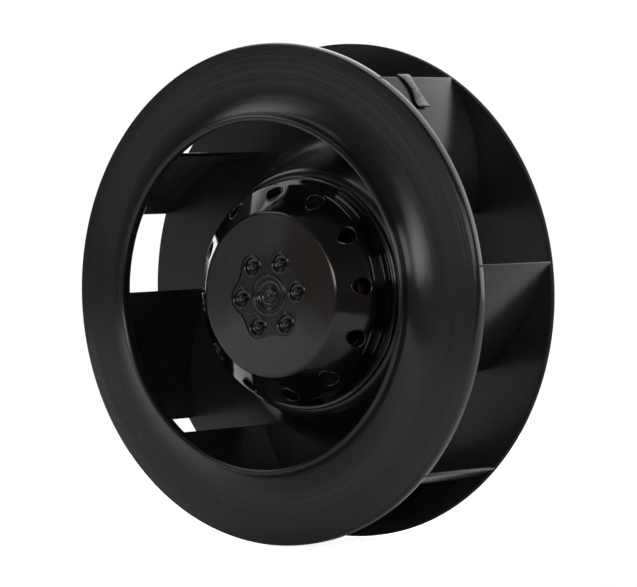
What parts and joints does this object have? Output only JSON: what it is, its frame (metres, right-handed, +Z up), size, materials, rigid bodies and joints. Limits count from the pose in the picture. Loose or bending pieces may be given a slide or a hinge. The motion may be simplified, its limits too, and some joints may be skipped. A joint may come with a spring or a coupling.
{
  "type": "plug fan",
  "caption": "Backward curved centrifugal fan wheel in black plastic with a raised inlet collar, spinning on an external rotor motor with a flat mounting flange behind.",
  "frame": {"origin": "centre of the motor flange's flat mounting face", "axes": "+Y along the fan axis out of the mounting face, away from the inlet; +Z up as the picture shows the fan; +X to the right as seen from the inlet"},
  "size_m": [0.25, 0.0993, 0.25],
  "materials": {
    "wheel_plastic": "satin black moulded plastic",
    "rotor_paint": "gloss black paint on drawn steel",
    "cast_aluminium": "die cast, blasted",
    "bright_steel": "ground bearing steel",
    "spring_steel": "blued spring steel sheet",
    "laminations": "stacked electrical sheet",
    "end_cap_plastic": "natural moulded plastic",
    "enamelled_copper": "enamelled copper wire",
    "black_rubber": "black rubber"
  },
  "bodies": {
    "stator": {"motor_flange": "cast_aluminium", "stator_core": "laminations", "stator_winding": "enamelled_copper", "insulator_front": "end_cap_plastic", "insulator_rear": "end_cap_plastic", "thermal_cutout": "black_rubber", "bearing_front_outer": "bright_steel", "bearing_rear_outer": "bright_steel", "preload_spring": "spring_steel", "lead_grommet": "black_rubber"},
    "rotor": {"front_shroud": "wheel_plastic", "blade_1": "wheel_plastic", "blade_2": "wheel_plastic", "blade_3": "wheel_plastic", "blade_4": "wheel_plastic", "blade_5": "wheel_plastic", "blade_6": "wheel_plastic", "blade_7": "wheel_plastic", "back_plate": "wheel_plastic", "hub_lock_ring": "spring_steel", "balance_clip": "spring_steel", "rotor_cup": "rotor_paint", "rotor_core": "laminations", "rotor_boss": "cast_aluminium", "shaft": "bright_steel", "shaft_circlip": "spring_steel", "bearing_front_inner": "bright_steel", "bearing_rear_inner": "bright_steel"},
    "front_ball_set": {"bearing_front_balls": "bright_steel"},
    "rear_ball_set": {"bearing_rear_balls": "bright_steel"}
  },
  "joints": [
    {"name": "rotor_spin", "type": "hinge", "parent": "stator", "child": "rotor", "pos_m": [0, 0, 0], "axis": [0, 1, 0], "continuous": true},
    {"name": "front_ball_orbit", "type": "hinge", "parent": "stator", "child": "front_ball_set", "pos_m": [0, 0, 0], "axis": [0, 1, 0], "continuous": true},
    {"name": "rear_ball_orbit", "type": "hinge", "parent": "stator", "child": "rear_ball_set", "pos_m": [0, 0, 0], "axis": [0, 1, 0], "continuous": true}
  ],
  "couplings": [
    {"joint": "front_ball_orbit", "follows": "rotor_spin", "ratio": 0.3733},
    {"joint": "rear_ball_orbit", "follows": "rotor_spin", "ratio": 0.3733}
  ]
}
